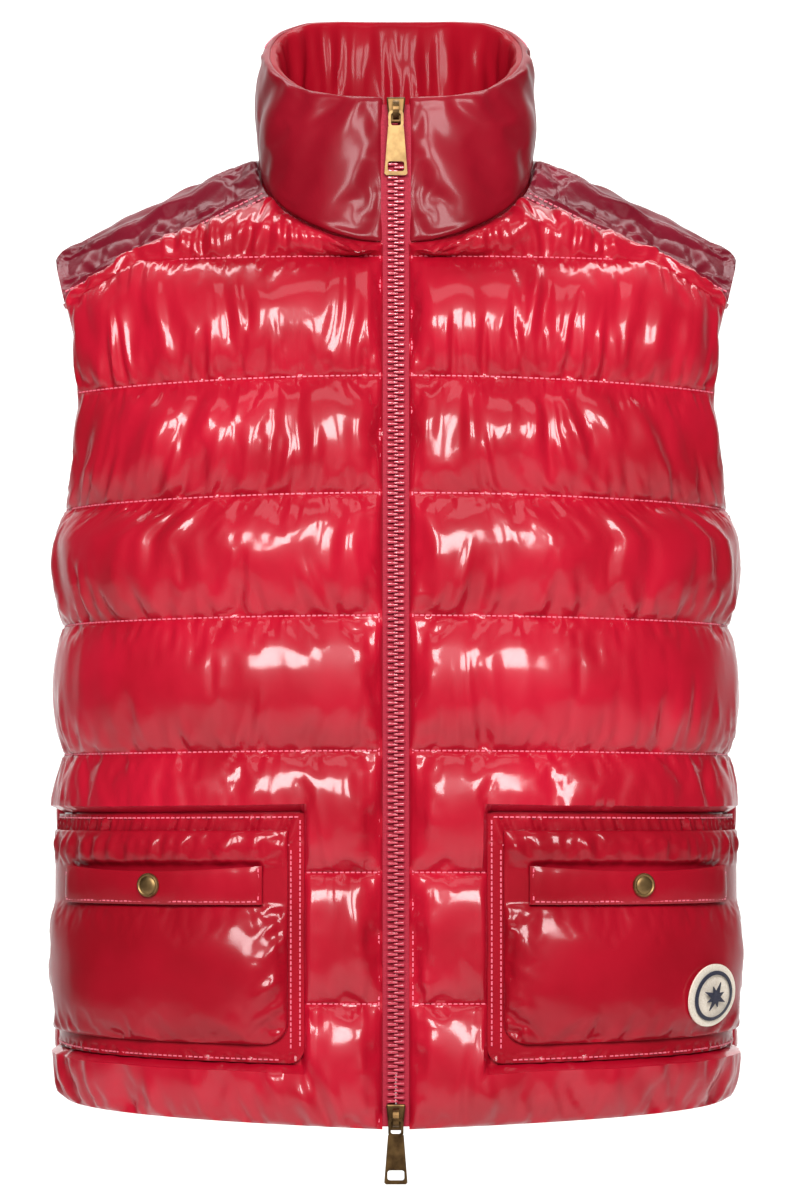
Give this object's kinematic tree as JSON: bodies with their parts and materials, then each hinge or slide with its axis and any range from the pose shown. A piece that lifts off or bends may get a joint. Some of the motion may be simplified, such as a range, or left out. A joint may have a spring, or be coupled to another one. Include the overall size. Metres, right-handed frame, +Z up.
{
  "type": "puffer vest",
  "caption": "Glossy red quilted puffer vest with a stand collar, two-way front zip, padded shoulder yokes and snap patch pockets, filled out as worn.",
  "frame": {"origin": "on the body's middle line between the neck's two sides, where the wearer's shoulders carry the vest", "axes": "+Z up, the zip faces -Y, the wearer's left at +X"},
  "size_m": [0.3982, 0.2584, 0.6676],
  "materials": {
    "shell": "glossy lacquered nylon, down filled",
    "yoke_cloth": "duller lacquered nylon, down filled",
    "facing": "plain glossy nylon inside the collar",
    "tape": "woven polyester zip tape",
    "teeth": "moulded zip teeth",
    "brass": "antique brass, brushed",
    "felt": "cream felt with dark embroidery",
    "thread": "polyester sewing thread"
  },
  "bodies": {
    "vest": {"front_left": "shell", "yoke_left": "yoke_cloth", "zip_tape_left": "tape", "pocket_frame_left": "shell", "pocket_bag_left": "shell", "pocket_welt_left": "shell", "snap_left": "brass", "front_right": "shell", "yoke_right": "yoke_cloth", "zip_tape_right": "tape", "pocket_frame_right": "shell", "pocket_bag_right": "shell", "pocket_welt_right": "shell", "snap_right": "brass", "back": "shell", "collar": "shell", "collar_facing": "facing", "badge": "felt", "zip_slider_top": "brass", "zip_slider_bottom": "brass"},
    "top_pull": {"zip_pull_top": "brass"},
    "bottom_pull": {"zip_pull_bottom": "brass"}
  },
  "joints": [
    {"name": "top_pull_swing", "type": "hinge", "parent": "vest", "child": "top_pull", "pos_m": [0, -0.07792, 0.0443], "axis": [-1, 0, 0], "range_deg": [0, 165]},
    {"name": "bottom_pull_swing", "type": "hinge", "parent": "vest", "child": "bottom_pull", "pos_m": [0, -0.12634, -0.5217], "axis": [-1, 0, 0], "range_deg": [-5, 150]}
  ]
}
